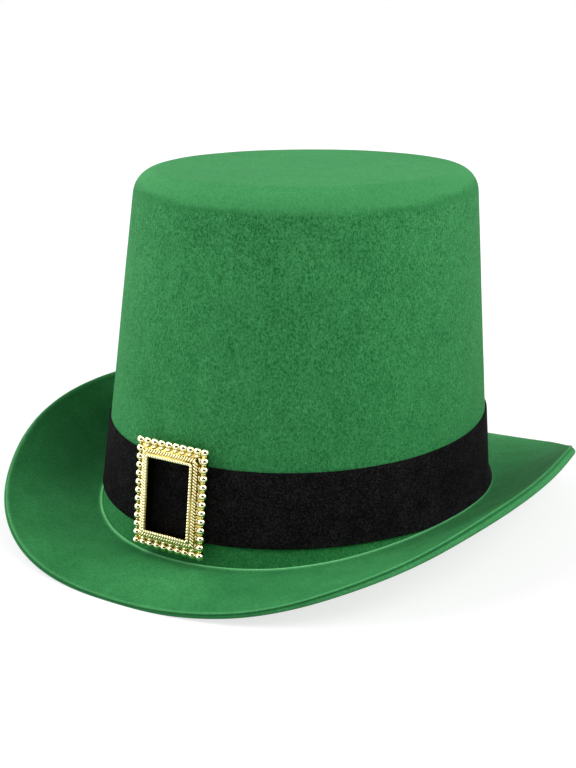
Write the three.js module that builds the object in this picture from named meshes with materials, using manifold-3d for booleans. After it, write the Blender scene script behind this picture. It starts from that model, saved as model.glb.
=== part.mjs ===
// Leprechaun hat: a green felt top hat with a curled brim, a black felt band and a gilt buckle.
// Millimetres, +Z up, floor at z = 0. The wearer looks along -Y, and +X is the wearer's left.
// Angles around the hat run from the front (-Y) towards the wearer's left (+X).
import * as THREE from 'three';
import { mergeVertices } from 'three/addons/utils/BufferGeometryUtils.js';
import Module from 'manifold-3d';

// Felt and fits
const FELT = 2;
const CLEARANCE = 0.3;
const AROUND = 72;

// Crown, a cone with an oval section, moulded in one piece with its flat top
const HAT_HEIGHT = 163;
const FOOT_LENGTH = 203;
const FOOT_WIDTH = 181;
const TOP_LENGTH = 166;
const TOP_WIDTH = 151;
const TOP_EDGE_RADIUS = 10;
const TOP_LEAN = 4.4;
const FLARE_REACH = 1.2;
const FLARE_HEIGHT = 7;
const FLARE_RINGS = [1, 0.5, 0.2];
const TOP_EDGE_BENDS = [90, 68, 45, 22, 0];

// Line along which the brim meets the crown, dipping at the front
const SEAM_FRONT = 4.1;
const SEAM_SIDE = 14;
const SEAM_BACK = 12.5;
const SEAM_SHARPNESS = 3.1;
const SEAM_LIP = 0.6;
const SEAM_LIP_WIDTH = 1.6;

// Brim, flat at the front and the back and curled up at both sides
const BRIM_LENGTH = 284;
const BRIM_WIDTH = 246.6;
const BRIM_SQUARENESS = 2.35;
const CURL_HEIGHT = 38;
const CURL_HOLLOW = 1.32;
const HEM_DEPTH = 2.2;
const HEM_DEPTH_CURLED = 4.6;
const HEM_WIDTH = 4;
const HEM_STEP = 0.8;
const HEM_ROUND = 0.55;
const FLOOR_PRESS = 0.7;
const BRIM_RINGS = [0.12, 0.28, 0.44, 0.6, 0.74, 0.86];

// How high the rim is carried on the wearer's left and right, as shares of the curl's height
const RIM_LIFT = [
  { angle: 0, left: 0, right: 0 },
  { angle: 22.5, left: 0.11, right: 0.12 },
  { angle: 45, left: 0.47, right: 0.52 },
  { angle: 67.5, left: 0.77, right: 0.97 },
  { angle: 90, left: 0.86, right: 1.12 },
  { angle: 112.5, left: 0.87, right: 1.02 },
  { angle: 135, left: 0.47, right: 0.48 },
  { angle: 157.5, left: 0.13, right: 0.09 },
  { angle: 180, left: 0, right: 0 },
];

// Band, a plain strip glued on slightly askew
const BAND_WIDTH = 32.7;
const BAND_THICKNESS = 1;
const BAND_LEVEL = 18;
const BAND_DROP_FRONT = 3.1;
const BAND_DROP_LEFT = 2.3;
const BAND_SAG = 3.5;
const BAND_SAG_ANGLE = 135;
const BAND_KICK = 1.5;
const BAND_KICK_HEIGHT = 4.5;

// Buckle, a flat beaded frame glued on the front of the band
const BEAD_PITCH = 3.73;
const BEAD_DIAMETER = 3.6;
const BEADS_ACROSS = 10;
const BEADS_DOWN = 13;
const SCALE_LENGTH = 3.4;
const SCALE_WIDTH = 1.7;
const SCALE_TURN = 0.6;
const FRAME_REACH = 6;
const FRAME_RISE = 4.2;
const BUCKLE_RAISE = 1.1;
const BUCKLE_ASIDE = 0.2;
const BEAD_FACETS = { around: 8, down: 5 };
const SCALE_FACETS = { around: 4, down: 3 };
const JOIN_TOLERANCE = 1e-4;

// Section of the buckle's frame from its outer edge to its window
const FRAME_SECTION = [
  { reach: -0.05, rise: 0 },
  { reach: -0.05, rise: 0.34 },
  { reach: 0.2, rise: 0.42 },
  { reach: 0.34, rise: 0.62 },
  { reach: 0.48, rise: 0.6 },
  { reach: 0.56, rise: 0.82 },
  { reach: 0.66, rise: 0.84 },
  { reach: 0.76, rise: 0.78 },
  { reach: 0.84, rise: 0.98 },
  { reach: 0.94, rise: 1 },
  { reach: 1, rise: 0.9 },
  { reach: 1, rise: 0 },
];
const SCALE_ROW = { reach: 0.34, rise: 0.5 };

// Colours and surfaces
const GREEN_FELT = { color: 0x2f8f4a, roughness: 0.95, metalness: 0 };
const BLACK_FELT = { color: 0x17161a, roughness: 0.95, metalness: 0 };
const GILT = { color: 0xe3cf6a, roughness: 0.2, metalness: 1 };

const wasm = await Module();
wasm.setup();

const mix = THREE.MathUtils.lerp;
const angles = Array.from({ length: AROUND }, (_, i) => (2 * Math.PI * i) / AROUND);

// How far an oval or a squared oval reaches from its centre at an angle
function ovalReach(angle, length, width, squareness = 2) {
  const along = Math.abs(Math.cos(angle)) / (length / 2);
  const across = Math.abs(Math.sin(angle)) / (width / 2);
  return (along ** squareness + across ** squareness) ** (-1 / squareness);
}

function pointAt(angle, reach, height, centreX = 0) {
  return new THREE.Vector3(centreX + reach * Math.sin(angle), -reach * Math.cos(angle), height);
}

// Share that grows smoothly from 0 at the front to 1 at the back
function towardsBack(angle) {
  return (1 - Math.cos(angle)) / 2;
}

// Height of the brim's upper face where it meets the crown
function seamHeight(angle) {
  const ends = mix(SEAM_FRONT, SEAM_BACK, towardsBack(angle));
  return mix(ends, SEAM_SIDE, Math.abs(Math.sin(angle)) ** SEAM_SHARPNESS);
}

// A point of the crown's outer face, moved outwards by an offset
function crownPoint(angle, height, offset = 0) {
  const share = height / HAT_HEIGHT;
  const length = mix(FOOT_LENGTH, TOP_LENGTH, share);
  const width = mix(FOOT_WIDTH, TOP_WIDTH, share);
  const aboveSeam = THREE.MathUtils.clamp((height - seamHeight(angle)) / FLARE_HEIGHT, 0, 1);
  const flare = FLARE_REACH * towardsBack(angle) * (1 - aboveSeam) ** 2;
  return pointAt(angle, ovalReach(angle, length, width) + flare + offset, height, TOP_LEAN * share);
}

// Share of the curl's height at an angle, on a smooth line through the rows of the table
const liftAround = [
  ...RIM_LIFT.map((row) => row.left),
  ...RIM_LIFT.slice(1, -1).reverse().map((row) => row.right),
];
function rimLift(angle) {
  const place = (angle / (2 * Math.PI)) * liftAround.length;
  const row = Math.floor(place);
  const lift = (k) => liftAround[(row + k + liftAround.length) % liftAround.length];
  const [before, from, to, after] = [-1, 0, 1, 2].map((k) => new THREE.Vector2(row + k, lift(k)));
  const line = new THREE.SplineCurve([before, from, to, after]);
  return line.getPoint((1 + place - row) / 3).y;
}

// Closed mesh over rings of points, which run down the outside and up the inside;
// it ends in a tip at each end, or closes on itself
function skin(rings, { closed = false, tips = [] } = {}) {
  const points = [...rings.flat(), ...tips];
  const faces = [];
  const runs = closed ? rings.length : rings.length - 1;
  for (let r = 0; r < runs; r += 1) {
    const a = r * AROUND;
    const b = ((r + 1) % rings.length) * AROUND;
    for (let i = 0; i < AROUND; i += 1) {
      const j = (i + 1) % AROUND;
      faces.push(a + i, b + j, a + j, a + i, b + i, b + j);
    }
  }
  if (!closed) {
    const first = rings.length * AROUND;
    const last = (rings.length - 1) * AROUND;
    for (let i = 0; i < AROUND; i += 1) {
      const j = (i + 1) % AROUND;
      faces.push(first, i, j, last + j, last + i, first + 1);
    }
  }
  const geometry = new THREE.BufferGeometry().setFromPoints(points);
  geometry.setIndex(faces);
  geometry.computeVertexNormals();
  return geometry;
}

function meshOf(name, geometry, surface) {
  const mesh = new THREE.Mesh(geometry, new THREE.MeshStandardMaterial(surface));
  mesh.name = name;
  return mesh;
}

// Crown: rings from the middle of the top down the outside, then up the inside
function crown() {
  const ringAt = (height, inset) => angles.map((a) => crownPoint(a, height, -inset));
  const bends = TOP_EDGE_BENDS.map(THREE.MathUtils.degToRad);
  const rounded = (radius, wall) =>
    bends.map((bend) =>
      ringAt(HAT_HEIGHT - wall - radius * (1 - Math.sin(bend)), wall + radius * (1 - Math.cos(bend))),
    );
  const wallRing = (rise, inset) => angles.map((a) => crownPoint(a, seamHeight(a) + rise, -inset));
  const outer = [
    ...rounded(TOP_EDGE_RADIUS, 0),
    ...FLARE_RINGS.map((share) => wallRing(FLARE_HEIGHT * share, 0)),
    wallRing(-FELT, 0),
  ];
  const inner = [
    ...rounded(TOP_EDGE_RADIUS - FELT, FELT),
    ...FLARE_RINGS.slice(0, -1).map((share) => wallRing(FLARE_HEIGHT * share, FELT)),
    wallRing(-FELT, FELT),
  ];
  const top = new THREE.Vector3(TOP_LEAN, 0, HAT_HEIGHT);
  const ceiling = new THREE.Vector3(TOP_LEAN, 0, HAT_HEIGHT - FELT);
  return skin([...outer, ...inner.reverse()], { tips: [top, ceiling] });
}

// Brim: rings from the seam out along the upper face, around the hem and back along the underside
function brim() {
  const sections = angles.map((angle) => {
    const seam = seamHeight(angle);
    const foot = crownPoint(angle, seam, CLEARANCE);
    const reach = ovalReach(angle, BRIM_LENGTH, BRIM_WIDTH, BRIM_SQUARENESS);
    const lift = rimLift(angle);
    const rim = pointAt(angle, reach, HEM_DEPTH - FLOOR_PRESS + CURL_HEIGHT * lift);
    const hemDepth = mix(HEM_DEPTH, HEM_DEPTH_CURLED, Math.min(lift, 1));
    const run = Math.hypot(rim.x - foot.x, rim.y - foot.y);
    const rise = rim.z - seam;
    const outwards = new THREE.Vector3(rim.x - foot.x, rim.y - foot.y, 0).normalize();
    // A point at a share of the way out, sunk below the upper face by a depth
    const at = (share, depth = 0) => {
      const slope = (rise / run) * CURL_HOLLOW * share ** (CURL_HOLLOW - 1);
      const tilt = Math.atan(slope);
      const point = foot.clone().addScaledVector(outwards, run * share + depth * Math.sin(tilt));
      point.z = seam + rise * share ** CURL_HOLLOW - depth * Math.cos(tilt);
      point.z = Math.max(point.z, 0);
      return point;
    };
    const hem = 1 - HEM_WIDTH / run;
    const round = 1 - HEM_ROUND / run;
    const lip = crownPoint(angle, seam + SEAM_LIP, CLEARANCE);
    const lipTop = foot.clone().addScaledVector(outwards, SEAM_LIP_WIDTH / 2).setZ(seam + SEAM_LIP);
    const lipFoot = foot.clone().addScaledVector(outwards, SEAM_LIP_WIDTH).setZ(at(SEAM_LIP_WIDTH / run).z);
    return [
      lip,
      lipTop,
      lipFoot,
      ...BRIM_RINGS.map((share) => at(share)),
      at(round),
      at(1, HEM_ROUND),
      at(1, hemDepth - HEM_ROUND),
      at(round, hemDepth),
      at(hem, hemDepth),
      at(hem - HEM_STEP / run, FELT),
      ...BRIM_RINGS.slice(0, -1).reverse().map((share) => at(share, FELT)),
      crownPoint(angle, seam - FELT, CLEARANCE),
    ];
  });
  const rings = sections[0].map((_, k) => sections.map((section) => section[k]));
  return skin(rings, { closed: true });
}

// Height of the band's plane above the floor
function bandLevel(angle) {
  return BAND_LEVEL - BAND_DROP_FRONT * Math.cos(angle) - BAND_DROP_LEFT * Math.sin(angle);
}

// Height of the band's lower edge, which sags at one side and rests on the seam where it drops that low
function bandFoot(angle) {
  const facing = Math.max(0, Math.cos(angle - THREE.MathUtils.degToRad(BAND_SAG_ANGLE)));
  return Math.max(bandLevel(angle) - BAND_SAG * facing ** 2, seamHeight(angle) + SEAM_LIP + CLEARANCE);
}

// Band: rings down its outer face and up its inner face; its lower edge kicks out towards the back
function band() {
  const shares = [1, BAND_KICK_HEIGHT / BAND_WIDTH, BAND_KICK_HEIGHT / BAND_WIDTH / 2, 0];
  const ringAt = (share, offset) =>
    angles.map((a) => {
      const below = Math.max(0, 1 - (share * BAND_WIDTH) / BAND_KICK_HEIGHT);
      const kick = BAND_KICK * towardsBack(a) * below ** 2;
      const height = mix(bandFoot(a), bandLevel(a) + BAND_WIDTH, share);
      return crownPoint(a, height, CLEARANCE + offset + kick);
    });
  const outer = shares.map((share) => ringAt(share, BAND_THICKNESS));
  const inner = shares.map((share) => ringAt(share, 0));
  return skin([...outer, ...inner.reverse()], { closed: true });
}

// Solid for joining, made from a closed geometry
function solidOf(geometry) {
  const bare = geometry.clone();
  bare.deleteAttribute('normal');
  bare.deleteAttribute('uv');
  const merged = mergeVertices(bare, JOIN_TOLERANCE);
  return new wasm.Manifold(
    new wasm.Mesh({
      numProp: 3,
      vertProperties: Float32Array.from(merged.attributes.position.array),
      triVerts: Uint32Array.from(merged.index.array),
    }),
  );
}

function geometryOf(solid) {
  const { vertProperties, triVerts } = solid.getMesh();
  const geometry = new THREE.BufferGeometry();
  geometry.setAttribute('position', new THREE.BufferAttribute(vertProperties, 3));
  geometry.setIndex(new THREE.BufferAttribute(triVerts, 1));
  geometry.computeVertexNormals();
  return geometry;
}

// The beads' centres, in order around a rectangle that is inset from the outer row
function beadPlaces(inset) {
  const width = (BEADS_ACROSS - 1) * BEAD_PITCH;
  const height = (BEADS_DOWN - 1) * BEAD_PITCH;
  const sides = [
    { count: BEADS_ACROSS - 1, from: [-1, -1], along: [1, 0], turn: 0 },
    { count: BEADS_DOWN - 1, from: [1, -1], along: [0, 1], turn: 0.5 },
    { count: BEADS_ACROSS - 1, from: [1, 1], along: [-1, 0], turn: 1 },
    { count: BEADS_DOWN - 1, from: [-1, 1], along: [0, -1], turn: 1.5 },
  ];
  return sides.flatMap(({ count, from, along, turn }) =>
    Array.from({ length: count }, (_, i) => {
      const run = along[0] ? width : height;
      const step = (i * (run - 2 * inset)) / count;
      return {
        x: from[0] * (width / 2 - inset) + along[0] * step,
        y: from[1] * (height / 2 - inset) + along[1] * step,
        turn: turn * Math.PI,
      };
    }),
  );
}

// Buckle, lying in its own XY plane with its back at z = 0
function buckle() {
  const halfWidth = ((BEADS_ACROSS - 1) * BEAD_PITCH) / 2;
  const halfHeight = ((BEADS_DOWN - 1) * BEAD_PITCH) / 2;
  const corners = [[-1, -1], [1, -1], [1, 1], [-1, 1]];
  const points = FRAME_SECTION.flatMap(({ reach, rise }) =>
    corners.map(([x, y]) => new THREE.Vector3(
      x * (halfWidth - reach * FRAME_REACH),
      y * (halfHeight - reach * FRAME_REACH),
      rise * FRAME_RISE,
    )),
  );
  const faces = [];
  FRAME_SECTION.forEach((_, s) => {
    const next = (s + 1) % FRAME_SECTION.length;
    corners.forEach((__, c) => {
      const turn = (c + 1) % corners.length;
      const [a, b] = [s * corners.length, next * corners.length];
      faces.push(a + c, a + turn, b + turn, a + c, b + turn, b + c);
    });
  });
  const frame = new THREE.BufferGeometry().setFromPoints(points);
  frame.setIndex(faces);
  let solid = solidOf(frame);
  const ball = new THREE.SphereGeometry(BEAD_DIAMETER / 2, BEAD_FACETS.around, BEAD_FACETS.down);
  ball.rotateX(Math.PI / 2);
  beadPlaces(0).forEach(({ x, y }) => {
    const bead = ball.clone().translate(x, y, BEAD_DIAMETER / 2 + CLEARANCE);
    solid = solid.add(solidOf(bead));
  });
  const oval = new THREE.SphereGeometry(0.5, SCALE_FACETS.around, SCALE_FACETS.down);
  oval.rotateX(Math.PI / 2).scale(SCALE_LENGTH, SCALE_WIDTH, SCALE_WIDTH);
  beadPlaces(SCALE_ROW.reach * FRAME_REACH).forEach(({ x, y, turn }) => {
    const scale = oval.clone().rotateZ(turn + SCALE_TURN).translate(x, y, FRAME_RISE * SCALE_ROW.rise);
    solid = solid.add(solidOf(scale));
  });
  return geometryOf(solid);
}

// The buckle's frame lies against the band at the front and leans back with the crown
function placeBuckle(mesh) {
  const level = bandLevel(0) + BAND_WIDTH / 2 + BUCKLE_RAISE;
  const onBand = crownPoint(0, level, CLEARANCE + BAND_THICKNESS + CLEARANCE);
  const higher = crownPoint(0, level + 1, CLEARANCE + BAND_THICKNESS + CLEARANCE);
  const lean = Math.atan(higher.y - onBand.y);
  mesh.position.copy(onBand).setX(BUCKLE_ASIDE);
  mesh.rotation.x = Math.PI / 2 - lean;
  return mesh;
}

const hat = new THREE.Group();
hat.add(meshOf('crown', crown(), GREEN_FELT));
hat.add(meshOf('brim', brim(), GREEN_FELT));
hat.add(meshOf('hat_band', band(), BLACK_FELT));
hat.add(placeBuckle(meshOf('buckle', buckle(), GILT)));

export default hat;
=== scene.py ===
"""Leprechaun hat: green felt with a curled brim, a black felt band and a beaded gilt buckle.

Sizes are in millimetres in the tables and in metres in the scene. The hat stands on z = 0, the wearer looks
along -Y, and +X is the wearer's left. Angles around the hat run from the front towards the wearer's left.
"""
import math

import bpy
import numpy as np
from bpy.props import FloatProperty, FloatVectorProperty, IntProperty, PointerProperty
from bpy.types import Operator, Panel, PropertyGroup
from mathutils import Matrix, Vector


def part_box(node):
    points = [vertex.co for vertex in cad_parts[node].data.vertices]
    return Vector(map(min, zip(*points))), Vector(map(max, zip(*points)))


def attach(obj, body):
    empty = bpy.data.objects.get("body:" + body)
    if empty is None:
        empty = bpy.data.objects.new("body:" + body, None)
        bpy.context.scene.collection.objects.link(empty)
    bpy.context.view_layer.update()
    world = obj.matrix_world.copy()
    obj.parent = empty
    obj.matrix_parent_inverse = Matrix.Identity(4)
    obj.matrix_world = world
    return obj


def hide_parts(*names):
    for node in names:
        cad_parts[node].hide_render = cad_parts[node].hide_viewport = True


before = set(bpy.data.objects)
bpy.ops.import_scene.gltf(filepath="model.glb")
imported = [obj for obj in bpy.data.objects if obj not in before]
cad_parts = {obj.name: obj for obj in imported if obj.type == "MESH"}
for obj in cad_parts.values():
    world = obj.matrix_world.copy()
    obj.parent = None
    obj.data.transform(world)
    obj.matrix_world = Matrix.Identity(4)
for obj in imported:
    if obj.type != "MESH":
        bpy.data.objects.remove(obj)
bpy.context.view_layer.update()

bl_info = {
    "name": "Leprechaun Hat",
    "version": (1, 0, 0),
    "blender": (4, 5, 0),
    "location": "View3D > Sidebar > Hat",
    "description": "Builds a felt top hat with a curled brim, a band and a beaded buckle",
    "category": "Object",
}

BODY = "root"
MM = 0.001
AROUND = 96

# Fits between the pieces, in millimetres
GLUE_GAP = 0.05
BUCKLE_GAP = 0.3

# Foot of the crown, which spreads a little towards the back
FLARE_REACH = 1.2
FLARE_HEIGHT = 7.0

# Painted light: how much paler the rings from the top's middle to the foot of its rounded edge are painted,
# and the line where this painted light ends, which dips towards the wearer's left front and right back
TOP_PAINTED_LIGHT = (0.36, 0.36, 0.36, 0.36, 0.38, 0.5, 0.7, 0.9, 1, 1, 1, 1)
PAINTED_LIGHT_BELOW_TOP = 5.8
PAINTED_LIGHT_DIP = 5.6
PAINTED_LIGHT_DIP_ANGLE = 32
PAINTED_LIGHT_FADE = 2.0

# Smoothness of the crown's felt: on its top, and at the foot of its wall
TOP_CALM = 0.65
FOOT_CALM = 0.5

# Rings of the crown: shares of its flat top, degrees around its rounded edge, shares of its wall and flare
TOP_RINGS = (0.25, 0.5, 0.75, 0.92)
EDGE_RINGS = (80, 68, 54, 40, 26, 12, 0)
WALL_RINGS = (0.012, 0.03, *np.linspace(0.08, 1, 12))
INNER_WALL_RINGS = np.linspace(0.1, 1, 8)
FLARE_RINGS = (0.75, 0.5, 0.25, 0)

# Rings of the crown's lower edge, as shares of the felt: above its underside, and across it
FOOT_RING = 0.8
FOOT_EDGE_RINGS = (0.15, 0.85)

# Line along which the brim meets the crown, dipping at the front
SEAM_FRONT = 4.1
SEAM_SIDE = 14.0
SEAM_BACK = 12.5
SEAM_SHARPNESS = 3.1

# Brim
BRIM_SQUARENESS = 2.35
CURL_HOLLOW = 1.32
HEM_DEPTH = 2.2
HEM_DEPTH_CURLED = 4.6
FLOOR_PRESS = 0.7
BRIM_RINGS = np.linspace(0, 1, 14)[1:-1]
UNDERSIDE_RINGS = np.linspace(1, 0, 12)[1:]
UNDERSIDE_START = 0.2
RIM_LIFT = (
    {"angle": 0, "left": 0, "right": 0},
    {"angle": 22.5, "left": 0.11, "right": 0.12},
    {"angle": 45, "left": 0.47, "right": 0.52},
    {"angle": 67.5, "left": 0.77, "right": 0.97},
    {"angle": 90, "left": 0.86, "right": 1.12},
    {"angle": 112.5, "left": 0.87, "right": 1.02},
    {"angle": 135, "left": 0.47, "right": 0.48},
    {"angle": 157.5, "left": 0.13, "right": 0.09},
    {"angle": 180, "left": 0, "right": 0},
)

# Raised lip along the brim's inner edge, from the underside up and over, in millimetres, with painted
# highlight along its rounded crest
LIP_SECTION = (
    {"out": 0.0, "rise": -1.7, "painted_highlight": 0},
    {"out": 0.0, "rise": -0.8, "painted_highlight": 0},
    {"out": 0.0, "rise": 0.1, "painted_highlight": 0.3},
    {"out": 0.12, "rise": 0.5, "painted_highlight": 1.2},
    {"out": 0.45, "rise": 0.7, "painted_highlight": 1.5},
    {"out": 0.9, "rise": 0.62, "painted_highlight": 1.4},
    {"out": 1.3, "rise": 0.3, "painted_highlight": 0.5},
    {"out": 1.7, "rise": 0.06, "painted_highlight": 0.1},
    {"out": 2.4, "rise": 0.0, "painted_highlight": 0},
)

# Rolled hem, from the upper face around to the underside, in millimetres from the rim; grow is the share of
# the hem's extra depth on the curled sides that a row takes; then come the painted highlight on the rim's
# rounded top and the hem's face, the painted shade in the groove and along the foot, and that painted shade
# where the brim is flat and the hem's face turns down; fades marks the groove's rows, which smooth out where
# the brim curls most
# Lift from which the hem takes its curled look; share of its painted highlight where the brim is flat; lift
# over which the groove smooths out, its inset there, and the share of its painted shade that goes with it
HEM_SHOWS_AT = 0.45
HEM_FLAT_HIGHLIGHT = 0.45
HEM_SMOOTH_FROM = 0.72
HEM_SMOOTH_TO = 1.0
HEM_SMOOTH_INSET = 0.1
HEM_SMOOTH_SHADE = 0.5
HEM_COLUMNS = ("inset", "depth", "grow", "painted_highlight", "painted_shade", "flat_painted_shade", "fades")
HEM_SECTION = tuple(dict(zip(HEM_COLUMNS, row)) for row in (
    (3.2, 0.0, 0, 0, 0, 0, 0),
    (2.2, 0.03, 0, 0, 0.15, 0, 0),
    (1.4, -0.08, 0, 0.14, 0, 0, 0),
    (0.8, -0.16, 0, 0.47, 0, 0, 0),
    (0.35, -0.02, 0.02, 0.5, 0, 0, 0),
    (0.15, 0.28, 0.06, 0.25, 0.2, 0, 0),
    (0.3, 0.52, 0.1, 0, 0.9, 1, 1),
    (0.5, 0.74, 0.14, 0, 1, 1, 1),
    (0.28, 0.98, 0.2, 0, 0.8, 1, 1),
    (0.05, 1.25, 0.3, 0.22, 0, 1, 0),
    (-0.05, 1.5, 0.5, 0.18, 0, 1, 0),
    (-0.05, 1.75, 0.75, 0.18, 0, 1, 0),
    (0.12, 2.05, 0.95, 0.07, 0.4, 1, 0),
    (0.6, 2.26, 1, 0, 1, 1, 0),
    (1.6, 2.28, 1, 0, 0.4, 0.5, 0),
    (3.4, 2.24, 0.95, 0, 0, 0.5, 0),
    (4.1, 2.1, 0.5, 0, 0.6, 0.5, 0),
    (4.5, 2.0, 0, 0, 0.4, 0.5, 0),
))

# Band, a plain strip glued on slightly askew
BAND_LEVEL = 18.0
BAND_DROP_FRONT = 3.1
BAND_DROP_LEFT = 2.3
BAND_SAG = 4.4
BAND_SAG_ANGLE = 135
BAND_KICK = 1.5
BAND_KICK_HEIGHT = 3.4
BAND_BACK_DROP = 2.6
BAND_BACK_FROM = 0.7
BAND_BACK_TO = 0.95

# Rings of the band: shares of its width and of the kick at its foot, its edge in millimetres, and shares of
# its thickness
BAND_RINGS = (0.94, 0.8, 0.65, 0.5, 0.36)
KICK_RINGS = (1.2, 1, 0.75, 0.5, 0.25)
BAND_EDGE = 0.2
BAND_EDGE_OUT = 0.8
BAND_EDGE_IN = 0.2

# Buckle
BEADS_ACROSS = 10
BEADS_DOWN = 13
BUCKLE_RAISE = 1.1
BUCKLE_ASIDE = 0.2
BUCKLE_SHARP_ANGLE = 50

# Section of the buckle's frame from its outer edge to its window, as shares of its reach and rise; the last
# column is painted shade with antique toning, deepest on the outer wall and on the window's wall
FRAME_SECTION = (
    {"reach": -0.05, "rise": 0.0, "shade_and_toning": 1},
    {"reach": -0.05, "rise": 0.24, "shade_and_toning": 1},
    {"reach": 0.02, "rise": 0.36, "shade_and_toning": 0.7},
    {"reach": 0.2, "rise": 0.38, "shade_and_toning": 0.55},
    {"reach": 0.3, "rise": 0.45, "shade_and_toning": 0.5},
    {"reach": 0.42, "rise": 0.48, "shade_and_toning": 0.6},
    {"reach": 0.5, "rise": 0.58, "shade_and_toning": 0.6},
    {"reach": 0.62, "rise": 0.68, "shade_and_toning": 0.6},
    {"reach": 0.76, "rise": 0.78, "shade_and_toning": 0.7},
    {"reach": 0.84, "rise": 0.86, "shade_and_toning": 0.4},
    {"reach": 0.92, "rise": 0.92, "shade_and_toning": 0.1},
    {"reach": 0.985, "rise": 0.87, "shade_and_toning": 0.2},
    {"reach": 1.0, "rise": 0.76, "shade_and_toning": 0.8},
    {"reach": 1.0, "rise": 0.0, "shade_and_toning": 1},
)

# Rows of raised ornament on the frame: place as shares, sizes in millimetres, slant in degrees
RELIEF_COLUMNS = ("reach", "rise", "pitch", "length", "width", "height", "slant")
RELIEF_ROWS = tuple(dict(zip(RELIEF_COLUMNS, row)) for row in (
    (0.33, 0.48, 3.73, 3.3, 1.5, 1.5, 30),
    (0.63, 0.73, 1.3, 3.2, 0.95, 1.25, 56),
    (0.9, 0.92, 1.3, 1.4, 1.5, 1.2, 30),
))

# Balls that beads and ornament are made of, and their painted shade with antique toning: everywhere and
# towards the foot, and the painted shade towards the underside
BEAD = {"segments": 28, "rows": 16, "shade": 0.2, "depth": 1.3, "underside_shade": 0.9}
RELIEF = {"segments": 14, "rows": 10, "shade": 0.5, "depth": 1.2, "underside_shade": 0.0}

# The three pieces of felt: unevenness in millimetres, the length of its lumps in metres, strength of the
# grain and of the broad blotches, the direction it is brushed in, and the light it catches
FELTS = {
    "crown": {
        "material": "green_felt_crown", "slot": "green_felt", "unevenness": 0.25, "lump": 0.03,
        "grain": 2.0, "blotches": 0.25, "brushed": (1, 1, 0.65), "sheen": 0.18, "gloss": 0.2,
    },
    "brim": {
        "material": "green_felt_brim", "slot": "green_felt", "unevenness": 0.2, "lump": 0.03,
        "grain": 0.8, "blotches": 0.7, "brushed": (1, 1, 1), "sheen": 0.18, "gloss": 0.2,
    },
    "hat_band": {
        "material": "black_felt_band", "slot": "black_felt", "unevenness": 0.15, "lump": 0.02,
        "grain": 1.0, "blotches": 0.3, "brushed": (1, 1, 1), "sheen": 0.0, "gloss": 0.04,
    },
}

# Noise in the felt and in the plating
FINE = {"scale": 1250, "detail": 3, "roughness": 0.7, "distortion": 0}
CURLS = {"scale": 430, "detail": 2, "roughness": 0.6, "distortion": 2}
LOOPS = {"scale": 650, "detail": 1, "roughness": 0.5, "distortion": 3}
MOTTLE = {"scale": 85, "detail": 3, "roughness": 0.6, "distortion": 0}
BROAD = {"scale": 16, "detail": 2, "roughness": 0.5, "distortion": 0}
PITS = {"scale": 900, "detail": 2, "roughness": 0.5, "distortion": 0}
CLOUD = {"scale": 160, "detail": 2, "roughness": 0.5, "distortion": 0}

# How much each noise counts in the felt's colour and in its relief
STRAND_SHARPNESS = 6
STRAND_MEAN = 0.55
FINE_LIGHTNESS = 1.3
STRAND_LIGHTNESS = 0.3
MOTTLE_LIGHTNESS = 0.5
# Strength of the painted light on the crown's top and rounded edge
PAINTED_TOP_LIGHTNESS = 0.42
# Strength of the painted highlight on the brim's lip and hem, partly varied by the fine noise
HIGHLIGHT_BASE = 0.45
HIGHLIGHT_FINE = 0.5
# Strength of the painted shade in the hem's groove and on its down-facing face
PAINTED_SHADE_DEPTH = 0.65
FINE_RELIEF = 0.6
STRAND_RELIEF = 0.3
FELT_BUMP = 0.6
FELT_BUMP_HEIGHT = 0.4

# Felt under light, with the colour that its stray fibres catch
FELT_ROUGHNESS = 0.9
FELT_IOR = 1.35
SHEEN_ROUGHNESS = 0.45
SHEEN_TINT = (0.16, 0.44, 0.2)

# Plating: how its clouds change its colour and roughness, and how deep its pits are
CLOUD_SHADE = 0.3
GILT_ROUGHNESS = 0.07
CLOUD_ROUGHNESS = 0.1
GILT_BUMP = 0.08
GILT_BUMP_HEIGHT = 0.05

# Lamps: where each shines from, how strongly and how softly
LAMPS = (
    {"name": "lamp_high", "azimuth": 50, "elevation": 68, "strength": 0.46},
    {"name": "lamp_left", "azimuth": -60, "elevation": 40, "strength": 1.40},
    {"name": "lamp_left_low", "azimuth": -60, "elevation": 15, "strength": 0.66},
    {"name": "lamp_left_side", "azimuth": -90, "elevation": 40, "strength": 0.36},
    {"name": "lamp_front_low", "azimuth": -30, "elevation": 15, "strength": 0.21},
    {"name": "lamp_right", "azimuth": 90, "elevation": 40, "strength": 1.10},
    {"name": "lamp_right_back", "azimuth": 120, "elevation": 40, "strength": 1.20},
    {"name": "lamp_back_low", "azimuth": -120, "elevation": 15, "strength": 0.35},
    {"name": "lamp_back_far", "azimuth": -150, "elevation": 15, "strength": 0.48},
)
LAMP_SPREAD = 40
SKY = 1.0

# Floor: the paper that the camera sees, and just below it the one that lights the hat
FLOOR_WIDTH = 120.0
FLOOR_STEP = 0.0001
FLOOR_ROUGHNESS = 0.9

# Dark card behind the camera, seen only in the gilding
CARD_RADIUS = 0.95
CARD_DISTANCE = 1.0
CARD_HEIGHT = 0.32
CARD_SIDES = 48
CARD_COLOUR = (0.01, 0.01, 0.01)

# Nearest and farthest distance that the camera sees
VIEW_NEAR = 0.01
VIEW_FAR = 200


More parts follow.
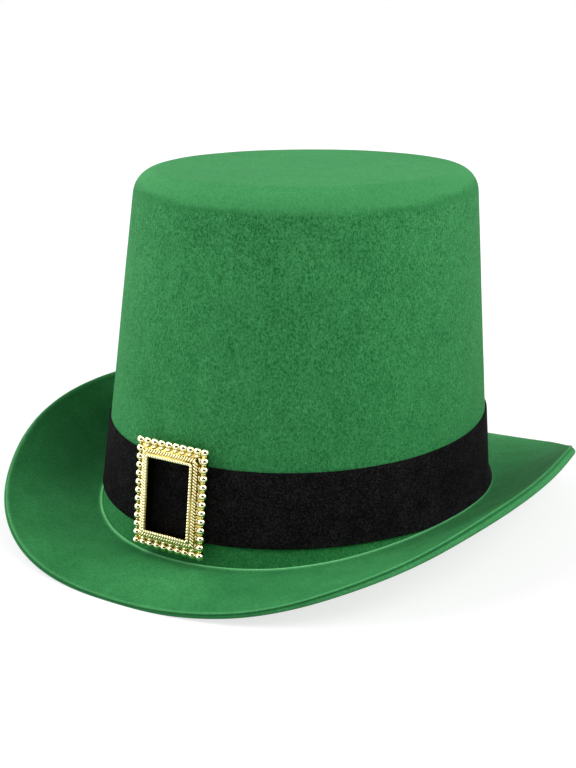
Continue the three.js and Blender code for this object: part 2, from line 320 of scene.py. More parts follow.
class HatSizes(PropertyGroup):
    """Sizes of the hat that a maker would change."""

    hat_height: FloatProperty(
        name="Hat height", description="From the floor to the top of the crown",
        default=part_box("crown")[1].z, unit="LENGTH",
    )
    foot_length: FloatProperty(
        name="Foot length", description="Crown at the floor's level, front to back", default=0.203,
        unit="LENGTH",
    )
    foot_width: FloatProperty(
        name="Foot width", description="Crown at the floor's level, side to side", default=0.181,
        unit="LENGTH",
    )
    top_length: FloatProperty(
        name="Top length", description="Crown at its top, front to back", default=0.166, unit="LENGTH",
    )
    top_width: FloatProperty(
        name="Top width", description="Crown at its top, side to side", default=0.151, unit="LENGTH",
    )
    top_edge_radius: FloatProperty(
        name="Top edge radius", description="Rounding between the wall and the top", default=0.010,
        unit="LENGTH",
    )
    top_lean: FloatProperty(
        name="Top lean", description="How far the top stands towards the wearer's left", default=0.0044,
        unit="LENGTH",
    )
    felt: FloatProperty(name="Felt", description="Thickness of the felt", default=0.002, unit="LENGTH")
    brim_length: FloatProperty(
        name="Brim length", description="Brim from front to back", default=0.284, unit="LENGTH",
    )
    brim_width: FloatProperty(
        name="Brim width", description="Brim from side to side", default=0.2466, unit="LENGTH",
    )
    curl_height: FloatProperty(
        name="Curl height", description="Side rim above the front rim", default=0.038, unit="LENGTH",
    )
    band_width: FloatProperty(
        name="Band width", description="Height of the band", default=0.0327, unit="LENGTH",
    )
    band_thickness: FloatProperty(
        name="Band thickness", description="Thickness of the band's felt", default=0.0009, unit="LENGTH",
    )
    bead_diameter: FloatProperty(
        name="Bead diameter", description="Beads around the buckle", default=0.0036, unit="LENGTH",
    )
    bead_pitch: FloatProperty(
        name="Bead pitch", description="From one bead to the next", default=0.00373, unit="LENGTH",
    )
    side_reach: FloatProperty(
        name="Side reach", description="From the beads' centres to the window, at the sides", default=0.0057,
        unit="LENGTH",
    )
    end_reach: FloatProperty(
        name="End reach", description="From the beads' centres to the window, above and below", default=0.0063,
        unit="LENGTH",
    )
    frame_rise: FloatProperty(
        name="Frame rise", description="Height of the frame above its back", default=0.0052,
        unit="LENGTH",
    )
    smoothing: IntProperty(
        name="Smoothing", description="Subdivision of the felt pieces", default=2, min=0, max=3,
    )


class HatColours(PropertyGroup):
    """Colours of the felt, the gilding and the floor."""

    green: FloatVectorProperty(
        name="Green", description="Body of the green felt", default=(0.029, 0.231, 0.064),
        subtype="COLOR",
    )
    # Also the colour that the painted light on the crown's top and rounded edge moves towards
    green_pale: FloatVectorProperty(
        name="Pale green", description="Raised fibres and worn edges", default=(0.073, 0.372, 0.122),
        subtype="COLOR",
    )
    green_deep: FloatVectorProperty(
        name="Deep green", description="Gaps between the fibres", default=(0.012, 0.135, 0.036),
        subtype="COLOR",
    )
    # Painted highlight along the edges of the brim's lip and hem
    green_highlight: FloatVectorProperty(
        name="Worn green", description="Edges of the brim's lip and hem", default=(0.230, 0.760, 0.310),
        subtype="COLOR",
    )
    black: FloatVectorProperty(
        name="Black", description="Body of the band's felt", default=(0.0050, 0.0048, 0.0050),
        subtype="COLOR",
    )
    black_fibre: FloatVectorProperty(
        name="Grey fibre", description="Stray fibres on the band", default=(0.034, 0.032, 0.035),
        subtype="COLOR",
    )
    black_deep: FloatVectorProperty(
        name="Deep black", description="Gaps between the band's fibres", default=(0.002, 0.002, 0.002),
        subtype="COLOR",
    )
    gilt: FloatVectorProperty(
        name="Gilt", description="Bright plating", default=(0.940, 0.890, 0.560), subtype="COLOR",
    )
    # Warm gilt and deep gilt are the steps of the painted shade and antique toning in the hollows and under
    # the beads
    gilt_warm: FloatVectorProperty(
        name="Warm gilt", description="Plating on the slopes", default=(0.720, 0.580, 0.160),
        subtype="COLOR",
    )
    gilt_deep: FloatVectorProperty(
        name="Deep gilt", description="Plating in the hollows", default=(0.220, 0.180, 0.030),
        subtype="COLOR",
    )
    floor: FloatVectorProperty(
        name="Floor", description="Studio floor", default=(0.30, 0.30, 0.30), subtype="COLOR",
    )
    bounce: FloatVectorProperty(
        name="Bounce", description="Colour of the light that the floor sends back to the hat",
        default=(0.8, 0.8, 0.8), subtype="COLOR",
    )
    floor_glow: FloatProperty(
        name="Floor glow", description="Light that the backlit floor gives off", default=0.74, min=0.0,
    )


class StudioView(PropertyGroup):
    """Where the camera stands."""

    azimuth: FloatProperty(
        name="Azimuth", description="From the front towards the wearer's left", default=math.radians(32.134),
        unit="ROTATION",
    )
    distance: FloatProperty(
        name="Distance", description="From the hat's axis, along the floor", default=0.6213,
        unit="LENGTH",
    )
    height: FloatProperty(name="Height", description="Above the floor", default=0.2338, unit="LENGTH")
    pitch: FloatProperty(
        name="Pitch", description="How far it looks down", default=math.radians(15.746), unit="ROTATION",
    )
    yaw: FloatProperty(
        name="Yaw", description="How far it turns from the hat's axis", default=math.radians(0.456),
        unit="ROTATION",
    )
    roll: FloatProperty(
        name="Roll", description="Tilt of the picture", default=math.radians(0.313), unit="ROTATION",
    )
    lens: FloatProperty(
        name="Lens", description="Focal length in millimetres", default=63.19, unit="CAMERA",
    )


def mix(a, b, share):
    return a + (b - a) * share


def angles():
    return np.arange(AROUND) * (2 * math.pi / AROUND)


def oval_reach(angle, length, width, squareness=2.0):
    """How far an oval or a squared oval reaches from its centre at an angle."""
    along = np.abs(np.cos(angle)) / (length / 2)
    across = np.abs(np.sin(angle)) / (width / 2)
    return (along**squareness + across**squareness) ** (-1 / squareness)


def point_at(angle, reach, height, centre_x=0.0):
    x = centre_x + reach * np.sin(angle)
    y = -reach * np.cos(angle)
    return np.stack([x, y, height + 0 * angle], axis=-1)


def towards_back(angle):
    return (1 - np.cos(angle)) / 2


def seam_height(angle):
    ends = mix(SEAM_FRONT, SEAM_BACK, towards_back(angle)) * MM
    return mix(ends, SEAM_SIDE * MM, np.abs(np.sin(angle)) ** SEAM_SHARPNESS)


def crown_point(sizes, angle, height, offset=0.0):
    """A point of the crown's outer face, moved outwards by an offset."""
    share = height / sizes.hat_height
    length = mix(sizes.foot_length, sizes.top_length, share)
    width = mix(sizes.foot_width, sizes.top_width, share)
    above_seam = np.clip((height - seam_height(angle)) / (FLARE_HEIGHT * MM), 0, 1)
    flare = FLARE_REACH * MM * towards_back(angle) * (1 - above_seam) ** 2
    reach = oval_reach(angle, length, width) + flare + offset
    return point_at(angle, reach, height, sizes.top_lean * share)


def rim_lift(angle):
    """Share of the curl's height at an angle, on a smooth line through the rows of the table."""
    lifts = [row["left"] for row in RIM_LIFT] + [row["right"] for row in RIM_LIFT[-2:0:-1]]
    place = angle / (2 * math.pi) * len(lifts)
    row = np.floor(place).astype(int)
    before, start, end, after = (np.take(lifts, row + k, mode="wrap") for k in (-1, 0, 1, 2))
    t = place - row
    leave = (end - before) / 2
    arrive = (after - start) / 2
    lift = start + leave * t + (3 * (end - start) - 2 * leave - arrive) * t**2
    return lift + (2 * (start - end) + leave + arrive) * t**3


def band_level(angle):
    """Height of the band's plane above the floor."""
    return (BAND_LEVEL - BAND_DROP_FRONT * np.cos(angle) - BAND_DROP_LEFT * np.sin(angle)) * MM


def band_foot(angle):
    """Height of the band's lower edge, which sags at one side and rests on the lip where it is low."""
    facing = np.maximum(0, np.cos(angle - math.radians(BAND_SAG_ANGLE)))
    lip = max(row["rise"] for row in LIP_SECTION) * MM
    sagging = band_level(angle) - BAND_SAG * MM * facing**2
    return np.maximum(sagging, seam_height(angle) + lip + BUCKLE_GAP * MM)


def add_mesh(name, points, faces, values=None):
    """Makes an object of a point list and a face list, with named values on its points."""
    mesh = bpy.data.meshes.new(name)
    mesh.from_pydata(np.asarray(points).tolist(), [], faces)
    mesh.validate()
    mesh.shade_smooth()
    for title, column in (values or {}).items():
        attribute = mesh.attributes.new(title, "FLOAT", "POINT")
        attribute.data.foreach_set("value", np.asarray(column, dtype=np.float32))
    piece = bpy.data.objects.new(name, mesh)
    bpy.context.scene.collection.objects.link(piece)
    return piece


def skin(name, rings, tips=(), values=None):
    """Closed shell over rings, which run down the outside and up the inside, between two tips or around."""
    count = len(rings)
    runs = count - 1 if tips else count
    faces = []
    for r in range(runs):
        a = r * AROUND
        b = ((r + 1) % count) * AROUND
        for i in range(AROUND):
            j = (i + 1) % AROUND
            faces.append((a + j, a + i, b + i, b + j))
    points = np.concatenate([np.reshape(rings, (-1, 3)), np.reshape(tips, (-1, 3))])
    if len(tips):
        first = count * AROUND
        last = (count - 1) * AROUND
        for i in range(AROUND):
            j = (i + 1) % AROUND
            faces.append((first, i, j))
            faces.append((last + j, last + i, first + 1))
    on_points = {}
    for title, column in (values or {}).items():
        on_rings = [np.broadcast_to(level, AROUND) for level in column]
        on_tips = [on_rings[0][:1], on_rings[-1][:1]][:len(tips)]
        on_points[title] = np.concatenate(on_rings + on_tips)
    return add_mesh(name, points, faces, on_points)


def soften(piece, levels, unevenness, lump):
    """Rounds a felt piece and gives it the slight unevenness of moulded felt."""
    rounding = piece.modifiers.new("rounding", "SUBSURF")
    rounding.levels = rounding.render_levels = levels
    lumps = bpy.data.textures.new(piece.name + "_lumps", "CLOUDS")
    lumps.noise_scale = lump
    lumps.noise_depth = 1
    dents = piece.modifiers.new("unevenness", "DISPLACE")
    dents.texture = lumps
    dents.texture_coords = "LOCAL"
    dents.strength = unevenness
    dents.mid_level = 0.5


def dress(piece, node, material):
    """Gives a piece its material and puts it in a CAD node's place."""
    piece.data.materials.append(material)
    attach(piece, BODY)
    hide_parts(node)


def crown_piece(sizes):
    a = angles()
    felt = sizes.felt
    seam = seam_height(a)

    def top_and_edge(wall):
        ceiling = sizes.hat_height - wall
        radius = sizes.top_edge_radius - wall
        rings = [crown_point(sizes, a, ceiling, -sizes.top_edge_radius)]
        centre = np.array([sizes.top_lean, 0, ceiling])
        flat = [centre + (rings[0] - centre) * share for share in TOP_RINGS]
        for bend in EDGE_RINGS:
            turn = math.radians(bend)
            height = ceiling - radius * (1 - math.sin(turn))
            rings.append(crown_point(sizes, a, height, -wall - radius * (1 - math.cos(turn))))
        return flat + rings

    def wall_rings(inset, shares):
        high = sizes.hat_height - sizes.top_edge_radius
        low = seam + FLARE_HEIGHT * MM
        return [crown_point(sizes, a, mix(high, low, share), -inset) for share in shares]

    def foot_rings(inset, rises):
        return [crown_point(sizes, a, seam + rise, -inset) for rise in rises]

    top = top_and_edge(0)
    below = [-FOOT_RING * felt, -felt]
    outer = top + wall_rings(0, WALL_RINGS)
    outer += foot_rings(0, [FLARE_HEIGHT * MM * share for share in FLARE_RINGS] + below)
    edge = [ring for share in FOOT_EDGE_RINGS for ring in foot_rings(share * felt, [-felt])]
    inner = top_and_edge(felt) + wall_rings(felt, INNER_WALL_RINGS) + foot_rings(felt, [0, *below])
    tips = [[sizes.top_lean, 0, sizes.hat_height], [sizes.top_lean, 0, sizes.hat_height - felt]]
    rings = outer + edge + inner[::-1]
    # Painted light on the top and its rounded edge ends at a line that dips towards the wearer's left front
    # and right back
    line = PAINTED_LIGHT_BELOW_TOP + PAINTED_LIGHT_DIP * np.cos(a - math.radians(PAINTED_LIGHT_DIP_ANGLE)) ** 2
    line = sizes.hat_height - line * MM
    painted_top_light = [
        level * np.clip((ring[:, 2] - line) / (PAINTED_LIGHT_FADE * MM), 0, 1)
        for level, ring in zip(TOP_PAINTED_LIGHT, top)
    ]
    down = [1 - ring[:, 2] / sizes.hat_height for ring in rings[len(top):]]
    return skin("crown_felt", rings, tips, {
        "painted_top_light": painted_top_light + [0] * len(down),
        "calm": [TOP_CALM] * len(top) + [FOOT_CALM * share for share in down],
    })


def brim_piece(sizes):
    a = angles()
    felt = sizes.felt
    seam = seam_height(a)
    foot = crown_point(sizes, a, seam, GLUE_GAP * MM)
    reach = oval_reach(a, sizes.brim_length, sizes.brim_width, BRIM_SQUARENESS)
    lift = rim_lift(a)
    rim = point_at(a, reach, (HEM_DEPTH - FLOOR_PRESS) * MM + sizes.curl_height * lift)
    deeper = (HEM_DEPTH_CURLED - HEM_DEPTH) * MM * np.clip(lift, 0, 1)
    across = rim[:, :2] - foot[:, :2]
    run = np.hypot(across[:, 0], across[:, 1])
    outwards = across / run[:, None]
    rise = rim[:, 2] - seam

    def at(share, depth=0.0):
        slope = (rise / run) * CURL_HOLLOW * np.maximum(share, 1e-6) ** (CURL_HOLLOW - 1)
        tilt = np.arctan(slope)
        away = run * share + depth * np.sin(tilt)
        height = seam + rise * share**CURL_HOLLOW - depth * np.cos(tilt)
        return np.column_stack([foot[:, :2] + outwards * away[:, None], np.maximum(height, 0)])

    # Each ring carries its painted highlight and painted shade for the felt's colour
    rings, painted_highlight, painted_shade = [], [], []
    for row in LIP_SECTION:
        share = row["out"] * MM / run
        ring = at(share)
        wall = crown_point(sizes, a, seam + row["rise"] * MM, GLUE_GAP * MM)
        ring[:, :2] += wall[:, :2] - foot[:, :2]
        ring[:, 2] = np.maximum(ring[:, 2] + row["rise"] * MM, 0)
        rings.append(ring)
        painted_highlight.append(row["painted_highlight"])
        painted_shade.append(0)
    inner = LIP_SECTION[-1]["out"] * MM / run
    outer = 1 - HEM_SECTION[0]["inset"] * MM / run
    for share in BRIM_RINGS:
        rings.append(at(mix(inner, outer, share)))
        painted_highlight.append(0)
        painted_shade.append(0)
    curled = np.clip(lift / HEM_SHOWS_AT, 0, 1)
    smooth = np.clip((lift - HEM_SMOOTH_FROM) / (HEM_SMOOTH_TO - HEM_SMOOTH_FROM), 0, 1)
    for row in HEM_SECTION:
        inset = mix(row["inset"], HEM_SMOOTH_INSET, row["fades"] * smooth)
        rings.append(at(1 - inset * MM / run, row["depth"] * MM + row["grow"] * deeper))
        # Painted highlight on the hem's lit edges; painted shade in its groove and, where the brim is flat,
        # over its down-facing face
        painted_highlight.append(row["painted_highlight"] * mix(HEM_FLAT_HIGHLIGHT, 1, curled))
        shade = mix(max(row["painted_shade"], row["flat_painted_shade"]), row["painted_shade"], curled)
        painted_shade.append(shade * (1 - HEM_SMOOTH_SHADE * row["fades"] * smooth))
    under = 1 - HEM_SECTION[-1]["inset"] * MM / run
    for share in UNDERSIDE_RINGS:
        rings.append(at(mix(UNDERSIDE_START * MM / run, under, share), felt))
        painted_highlight.append(0)
        painted_shade.append(0)
    return skin("brim_felt", rings, values={"painted_highlight": painted_highlight, "painted_shade": painted_shade})


def band_piece(sizes):
    a = angles()
    foot = band_foot(a)
    back = np.clip((towards_back(a) - BAND_BACK_FROM) / (BAND_BACK_TO - BAND_BACK_FROM), 0, 1)
    head = band_level(a) + sizes.band_width - BAND_BACK_DROP * MM * back
    kick_share = BAND_KICK_HEIGHT * MM / sizes.band_width

    def ring(share, offset):
        below = np.maximum(0, 1 - share / kick_share)
        kick = BAND_KICK * MM * towards_back(a) * below**2
        return crown_point(sizes, a, mix(foot, head, share), GLUE_GAP * MM + offset + kick)

    thick = sizes.band_thickness
    edge = BAND_EDGE * MM / sizes.band_width
    outer_shares = [1 - edge, *BAND_RINGS, *(kick_share * share for share in KICK_RINGS), edge]
    rings = [ring(share, thick) for share in outer_shares]
    rings += [ring(0, thick * BAND_EDGE_OUT), ring(0, thick * BAND_EDGE_IN)]
    rings += [ring(share, 0) for share in (edge, kick_share * 0.5, kick_share, 0.5, 1 - edge)]
    rings += [ring(1, thick * BAND_EDGE_IN), ring(1, thick * BAND_EDGE_OUT)]
    return skin("band_felt", rings)


def ball(segments, rows):
    """Points and faces of a ball of diameter 1, whose poles face out of the buckle and into it."""
    points = [(0, 0, 0.5)]
    for r in range(1, rows):
        turn = math.pi * r / rows
        for s in range(segments):
            side = 2 * math.pi * s / segments
            points.append((
                math.sin(turn) * math.cos(side) / 2,
                math.sin(turn) * math.sin(side) / 2,
                math.cos(turn) / 2,
            ))
    points.append((0, 0, -0.5))
    faces = []
    last = len(points) - 1
    for s in range(segments):
        t = (s + 1) % segments
        faces.append((0, 1 + s, 1 + t))
        faces.append((last, last - segments + t, last - segments + s))
        for r in range(rows - 2):
            a = 1 + r * segments
            b = a + segments
            faces.append((a + s, b + s, b + t, a + t))
    return np.array(points), faces


def row_places(sizes, share, pitch, on_corners):
    """Places and headings around the buckle, at a share of the way from the beads to the window."""
    width = (BEADS_ACROSS - 1) * sizes.bead_pitch - 2 * share * sizes.side_reach
    height = (BEADS_DOWN - 1) * sizes.bead_pitch - 2 * share * sizes.end_reach
    sides = (
        ((-1, -1), (1, 0), width),
        ((1, -1), (0, 1), height),
        ((1, 1), (-1, 0), width),
        ((-1, 1), (0, -1), height),
    )
    for quarter, (corner, along, run) in enumerate(sides):
        count = round(run / pitch)
        for i in range(count):
            step = (i if on_corners else i + 0.5) * run / count
            x = corner[0] * width / 2 + along[0] * step
            y = corner[1] * height / 2 + along[1] * step
            yield x, y, quarter * math.pi / 2


def frame_body(sizes):
    """The buckle's frame, its section carried around four mitred corners."""
    half_width = (BEADS_ACROSS - 1) * sizes.bead_pitch / 2
    half_height = (BEADS_DOWN - 1) * sizes.bead_pitch / 2
    corners = ((-1, -1), (1, -1), (1, 1), (-1, 1))
    points = [
        (x * (half_width - row["reach"] * sizes.side_reach),
         y * (half_height - row["reach"] * sizes.end_reach),
         row["rise"] * sizes.frame_rise)
        for row in FRAME_SECTION for x, y in corners
    ]
    faces = []
    for s in range(len(FRAME_SECTION)):
        a, b = 4 * s, 4 * ((s + 1) % len(FRAME_SECTION))
        faces += [(a + c, a + (c + 1) % 4, b + (c + 1) % 4, b + c) for c in range(4)]
    return np.array(points), faces, np.repeat([row["shade_and_toning"] for row in FRAME_SECTION], 4)


def copies(kind, places):
    """Balls of one kind under their own matrices, painted darker towards the foot and on the underside."""
    points, faces = ball(kind["segments"], kind["rows"])
    all_points, all_faces = [], []
    for n, matrix in enumerate(places):
        turned = points @ np.array(matrix.to_3x3()).T + np.array(matrix.translation)
        all_points.append(turned)
        all_faces += [tuple(v + n * len(points) for v in face) for face in faces]
    shade_and_toning = kind["shade"] - kind["depth"] * points[:, 2] - kind["underside_shade"] * points[:, 1]
    return np.concatenate(all_points), all_faces, np.tile(np.clip(shade_and_toning, 0, 1), len(places))


def buckle_piece(sizes):
    lift = sizes.bead_diameter / 2 + BUCKLE_GAP * MM
    beads = [
        Matrix.LocRotScale((x, y, lift), None, (sizes.bead_diameter,) * 3)
        for x, y, _ in row_places(sizes, 0, sizes.bead_pitch, True)
    ]
    parts = [frame_body(sizes), copies(BEAD, beads)]
    for row in RELIEF_ROWS:
        size = Vector((row["length"], row["width"], row["height"])) * MM
        places = [
            Matrix.LocRotScale(
                (x, y, row["rise"] * sizes.frame_rise),
                Matrix.Rotation(turn + math.radians(row["slant"]), 3, "Z"),
                size,
            )
            for x, y, turn in row_places(sizes, row["reach"], row["pitch"] * MM, False)
        ]
        parts.append(copies(RELIEF, places))
    points = np.concatenate([part[0] for part in parts])
    faces, start = [], 0
    for part in parts:
        faces += [tuple(v + start for v in face) for face in part[1]]
        start += len(part[0])
    level = float(band_level(0.0)) + sizes.band_width / 2 + BUCKLE_RAISE * MM
    offset = sizes.band_thickness + 2 * BUCKLE_GAP * MM
    on_band, higher = (crown_point(sizes, np.array([0.0]), z, offset)[0] for z in (level, level + MM))
    lean = math.atan((higher[1] - on_band[1]) / MM)
    upright = Matrix.Rotation(math.pi / 2 - lean, 4, "X")
    place = Matrix.Translation((BUCKLE_ASIDE * MM, on_band[1], level)) @ upright
    gilt_shade_and_toning = np.concatenate([part[2] for part in parts])
    placed = points @ np.array(place.to_3x3()).T + np.array(place.translation)
    piece = add_mesh("buckle_gilt", placed, faces, {"gilt_shade_and_toning": gilt_shade_and_toning})
    piece.data.set_sharp_from_angle(angle=math.radians(BUCKLE_SHARP_ANGLE))
    return piece


class Value:
    """A socket that adds Math nodes when it is used in an expression."""

    def __init__(self, tree, socket):
        self.tree = tree
        self.socket = socket

    def _math(self, operation, *terms, clamp=False):
        node = self.tree.nodes.new("ShaderNodeMath")
        node.operation = operation
        node.use_clamp = clamp
        for place, term in enumerate(terms):
            if isinstance(term, Value):
                self.tree.links.new(term.socket, node.inputs[place])
            else:
                node.inputs[place].default_value = term
        return Value(self.tree, node.outputs[0])

    def __add__(self, other):
        return self._math("ADD", self, other)

    __radd__ = __add__

    def __sub__(self, other):
        return self._math("SUBTRACT", self, other)

    def __rsub__(self, other):
        return self._math("SUBTRACT", other, self)

    def __mul__(self, other):
        return self._math("MULTIPLY", self, other)

    __rmul__ = __mul__

    def __abs__(self):
        return self._math("ABSOLUTE", self)

    def clamped(self):
        return self._math("ADD", self, 0.0, clamp=True)


class Finish:
    """A material and its nodes."""

    def __init__(self, name):
        self.material = bpy.data.materials.new(name)
        self.material.use_nodes = True
        self.tree = self.material.node_tree
        self.tree.nodes.clear()

    def node(self, kind, settings=None, inputs=None, output=0):
        """Adds a node, sets it up, fills its sockets and gives back one of its outputs."""
        node = self.tree.nodes.new(kind)
        for title, setting in (settings or {}).items():
            setattr(node, title, setting)
        for title, filling in (inputs or {}).items():
            if isinstance(filling, Value):
                self.tree.links.new(filling.socket, node.inputs[title])
            else:
                node.inputs[title].default_value = filling
        return Value(self.tree, node.outputs[output]) if node.outputs else None

    def places(self, stretch):
        coordinates = self.node("ShaderNodeTexCoord", output="Object")
        return self.node("ShaderNodeMapping", inputs={"Vector": coordinates, "Scale": stretch})

    def noise(self, row, stretch=(1, 1, 1)):
        """Cloudy noise between 0 and 1, with its grain about one metre divided by the scale."""
        settings = {title.capitalize(): value for title, value in row.items()}
        return self.node("ShaderNodeTexNoise", inputs={"Vector": self.places(stretch), **settings})

    def blend(self, factor, a, b):
        """Mixes two colours by a factor."""
        node = self.tree.nodes.new("ShaderNodeMix")
        node.data_type = "RGBA"
        for place, filling in ((0, factor), (6, a), (7, b)):
            if isinstance(filling, Value):
                self.tree.links.new(filling.socket, node.inputs[place])
            else:
                node.inputs[place].default_value = filling if place == 0 else (*filling, 1)
        return Value(self.tree, node.outputs[2])

    def attribute(self, title):
        return self.node("ShaderNodeAttribute", {"attribute_name": title}, output="Fac")

    def bump(self, height, strength, distance):
        return self.node(
            "ShaderNodeBump", inputs={"Height": height, "Strength": strength, "Distance": distance},
        )

    def surface(self, **inputs):
        fillings = {title.replace("_", " "): filling for title, filling in inputs.items()}
        shader = self.node("ShaderNodeBsdfPrincipled", inputs=fillings)
        self.node("ShaderNodeOutputMaterial", inputs={"Surface": shader})
        return self.material


def felt_finish(felt, shades):
    """Dense wool felt: short curly fibres, pale where they are raised and deep between them."""
    body, pale, deep, highlight_colour = shades
    finish = Finish(felt["material"])
    brushed = felt["brushed"]
    fine, curls, loops, mottle = (finish.noise(row, brushed) for row in (FINE, CURLS, LOOPS, MOTTLE))
    broad = finish.noise(BROAD)
    strands = [(1 - abs(noise * 2 - 1) * STRAND_SHARPNESS).clamped() for noise in (curls, loops)]
    strands = strands[0] + strands[1]
    painted_top_light, calm = finish.attribute("painted_top_light"), finish.attribute("calm")
    grain = (fine - 0.5) * FINE_LIGHTNESS + (strands - STRAND_MEAN) * STRAND_LIGHTNESS
    lightness = grain * felt["grain"] + (mottle - 0.5) * MOTTLE_LIGHTNESS
    # The crown's top and rounded edge are painted paler: painted light
    factor = lightness * (1 - calm) + (broad - 0.5) * felt["blotches"] + 0.5 + painted_top_light * PAINTED_TOP_LIGHTNESS
    factor = factor.clamped()
    darker = finish.blend((factor * 2).clamped(), deep, body)
    colour = finish.blend((factor * 2 - 1).clamped(), darker, pale)
    # Painted highlight on the brim's lip and hem edges, then painted shade in the hem's groove
    painted_highlight = (finish.attribute("painted_highlight") * (HIGHLIGHT_BASE + fine * HIGHLIGHT_FINE)).clamped()
    colour = finish.blend(painted_highlight, colour, highlight_colour)
    colour = finish.blend((finish.attribute("painted_shade") * PAINTED_SHADE_DEPTH).clamped(), colour, deep)
    relief = fine * FINE_RELIEF + strands * STRAND_RELIEF
    return finish.surface(
        Base_Color=colour,
        Roughness=FELT_ROUGHNESS,
        IOR=FELT_IOR,
        Specular_IOR_Level=felt["gloss"],
        Sheen_Weight=felt["sheen"],
        Sheen_Roughness=SHEEN_ROUGHNESS,
        Sheen_Tint=(*SHEEN_TINT, 1),
        Normal=finish.bump(relief, FELT_BUMP, FELT_BUMP_HEIGHT * MM),
    )


def finish_felt(piece, node, shades, smoothing):
    """Rounds a piece of felt, gives it its finish and puts it in a CAD node's place."""
    felt = FELTS[node]
    soften(piece, smoothing, felt["unevenness"] * MM, felt["lump"])
    dress(piece, node, felt_finish(felt, shades))


def green_shades(colours):
    return colours.green, colours.green_pale, colours.green_deep, colours.green_highlight


def gilt_finish(colours):
    """Pale gold plating on moulded plastic: painted shade and toning in its hollows, a faintly pitted skin."""
    finish = Finish("gilt_plating")
    pits, cloud = finish.noise(PITS), finish.noise(CLOUD)
    depth = (finish.attribute("gilt_shade_and_toning") + (cloud - 0.5) * CLOUD_SHADE).clamped()
    warm = finish.blend((depth * 2).clamped(), colours.gilt, colours.gilt_warm)
    return finish.surface(
        Base_Color=finish.blend((depth * 2 - 1).clamped(), warm, colours.gilt_deep),
        Metallic=1.0,
        Roughness=(GILT_ROUGHNESS + cloud * CLOUD_ROUGHNESS).clamped(),
        Normal=finish.bump(pits, GILT_BUMP, GILT_BUMP_HEIGHT * MM),
    )


class HAT_OT_crown(Operator):
    """Moulds the crown of green felt."""

    bl_idname = "hat.crown"
    bl_label = "Crown"

    def execute(self, context):
        sizes, colours = context.scene.hat_sizes, context.scene.hat_colours
        finish_felt(crown_piece(sizes), "crown", green_shades(colours), sizes.smoothing)
        return {"FINISHED"}


class HAT_OT_brim(Operator):
    """Presses the curled brim of green felt with its lip and rolled hem."""

    bl_idname = "hat.brim"
    bl_label = "Brim"

    def execute(self, context):
        sizes, colours = context.scene.hat_sizes, context.scene.hat_colours
        finish_felt(brim_piece(sizes), "brim", green_shades(colours), sizes.smoothing)
        return {"FINISHED"}


class HAT_OT_band(Operator):
    """Glues the black felt band around the crown."""

    bl_idname = "hat.band"
    bl_label = "Band"

    def execute(self, context):
        sizes, colours = context.scene.hat_sizes, context.scene.hat_colours
        shades = (colours.black, colours.black_fibre, colours.black_deep, colours.black_fibre)
        finish_felt(band_piece(sizes), "hat_band", shades, sizes.smoothing)
        return {"FINISHED"}


class HAT_OT_buckle(Operator):
    """Casts the beaded buckle and fixes it on the band."""

    bl_idname = "hat.buckle"
    bl_label = "Buckle"

    def execute(self, context):
        piece = buckle_piece(context.scene.hat_sizes)
        dress(piece, "buckle", gilt_finish(context.scene.hat_colours))
        return {"FINISHED"}


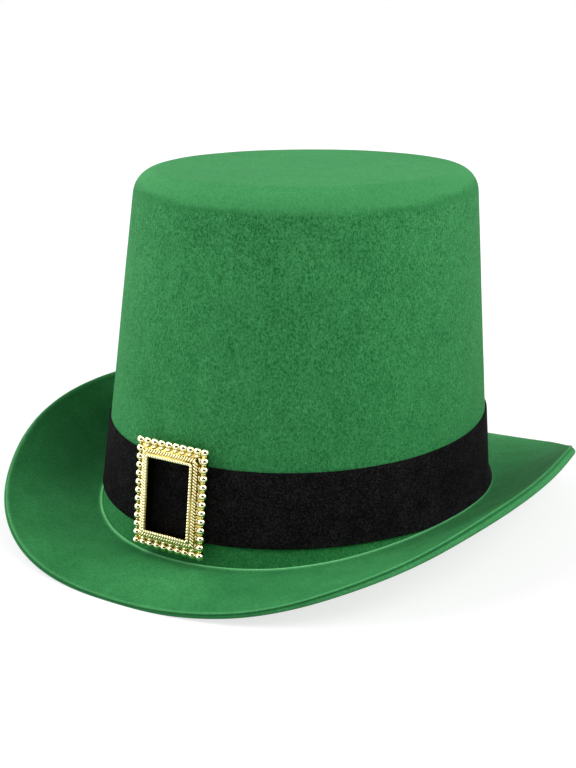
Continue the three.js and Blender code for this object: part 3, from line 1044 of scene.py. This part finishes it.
class HAT_OT_stage(Operator):
    """Sets up the floor, the lamps and the camera."""

    bl_idname = "hat.stage"
    bl_label = "Stage"

    def execute(self, context):
        scene = context.scene
        scene.view_settings.view_transform = "Standard"
        self.add_floor(scene)
        self.add_card(scene.studio_view.azimuth)
        for row in LAMPS:
            self.add_lamp(scene, row)
        self.add_sky(scene)
        self.add_camera(scene)
        return {"FINISHED"}

    @staticmethod
    def add_floor(scene):
        half = FLOOR_WIDTH / 2
        corners = ((-half, -half), (half, -half), (half, half), (-half, half))
        colours = scene.hat_colours
        shown, lit = (
            add_mesh(name, [(x, y, z) for x, y in corners], [(0, 1, 2, 3)])
            for name, z in (("floor_paper", 0), ("floor_bounce", -FLOOR_STEP))
        )
        shown.data.materials.append(Finish("floor_paper").surface(
            Base_Color=(*colours.floor, 1), Roughness=FLOOR_ROUGHNESS,
            Emission_Color=(1, 1, 1, 1), Emission_Strength=colours.floor_glow,
        ))
        shown.visible_diffuse = False
        shown.visible_shadow = False
        lit.data.materials.append(Finish("floor_bounce").surface(
            Base_Color=(*colours.bounce, 1), Roughness=FLOOR_ROUGHNESS,
        ))
        lit.visible_camera = False
        lit.visible_glossy = False

    @staticmethod
    def add_card(azimuth):
        turns = np.linspace(0, 2 * math.pi, CARD_SIDES, endpoint=False)
        rim = np.stack([CARD_RADIUS * np.cos(turns), 0 * turns, CARD_RADIUS * np.sin(turns)], axis=-1)
        card = add_mesh("dark_card", rim, [tuple(range(CARD_SIDES))])
        away = Matrix.Translation((0, -CARD_DISTANCE, CARD_HEIGHT))
        card.matrix_world = Matrix.Rotation(azimuth, 4, "Z") @ away
        cloth = Finish("dark_cloth").surface(Base_Color=(*CARD_COLOUR, 1), Roughness=1.0)
        card.data.materials.append(cloth)
        card.visible_camera = False
        card.visible_diffuse = False
        card.visible_transmission = False
        card.visible_shadow = False

    @staticmethod
    def add_lamp(scene, row):
        light = bpy.data.lights.new(row["name"], "SUN")
        light.energy = row["strength"]
        light.angle = math.radians(LAMP_SPREAD)
        lamp = bpy.data.objects.new(row["name"], light)
        turn = Matrix.Rotation(math.radians(row["azimuth"]), 4, "Z")
        lamp.matrix_world = turn @ Matrix.Rotation(math.radians(90 - row["elevation"]), 4, "X")
        scene.collection.objects.link(lamp)

    @staticmethod
    def add_sky(scene):
        world = bpy.data.worlds.new("studio")
        world.use_nodes = True
        background = world.node_tree.nodes["Background"]
        background.inputs["Color"].default_value = (1, 1, 1, 1)
        background.inputs["Strength"].default_value = SKY
        scene.world = world
        world.cycles_visibility.diffuse = False

    @staticmethod
    def add_camera(scene):
        view = scene.studio_view
        lens = bpy.data.cameras.new("camera")
        lens.lens = view.lens
        lens.clip_start = VIEW_NEAR
        lens.clip_end = VIEW_FAR
        camera = bpy.data.objects.new("camera", lens)
        place = (view.distance * math.sin(view.azimuth), -view.distance * math.cos(view.azimuth), view.height)
        turn = Matrix.Rotation(view.azimuth + view.yaw, 4, "Z")
        nod = Matrix.Rotation(math.pi / 2 - view.pitch, 4, "X")
        camera.matrix_world = Matrix.Translation(place) @ turn @ nod @ Matrix.Rotation(view.roll, 4, "Z")
        scene.collection.objects.link(camera)
        scene.camera = camera


class HAT_PT_sidebar(Panel):
    """Lists the hat's pieces in the 3D view's sidebar."""

    bl_idname = "HAT_PT_sidebar"
    bl_label = "Leprechaun hat"
    bl_space_type = "VIEW_3D"
    bl_region_type = "UI"
    bl_category = "Hat"

    def draw(self, context):
        for group in (context.scene.hat_sizes, context.scene.hat_colours, context.scene.studio_view):
            box = self.layout.box()
            for title in group.bl_rna.properties.keys():
                if title not in {"rna_type", "name"}:
                    box.prop(group, title)
        for operator in OPERATORS:
            self.layout.operator(operator.bl_idname)


OPERATORS = (HAT_OT_crown, HAT_OT_brim, HAT_OT_band, HAT_OT_buckle, HAT_OT_stage)
CLASSES = (HatSizes, HatColours, StudioView, *OPERATORS, HAT_PT_sidebar)


def register():
    for cls in CLASSES:
        bpy.utils.register_class(cls)
    bpy.types.Scene.hat_sizes = PointerProperty(type=HatSizes)
    bpy.types.Scene.hat_colours = PointerProperty(type=HatColours)
    bpy.types.Scene.studio_view = PointerProperty(type=StudioView)


def unregister():
    del bpy.types.Scene.studio_view
    del bpy.types.Scene.hat_colours
    del bpy.types.Scene.hat_sizes
    for cls in reversed(CLASSES):
        bpy.utils.unregister_class(cls)


def main():
    register()
    bpy.ops.hat.crown()
    bpy.ops.hat.brim()
    bpy.ops.hat.band()
    bpy.ops.hat.buckle()
    bpy.ops.hat.stage()


if __name__ == "__main__":
    main()
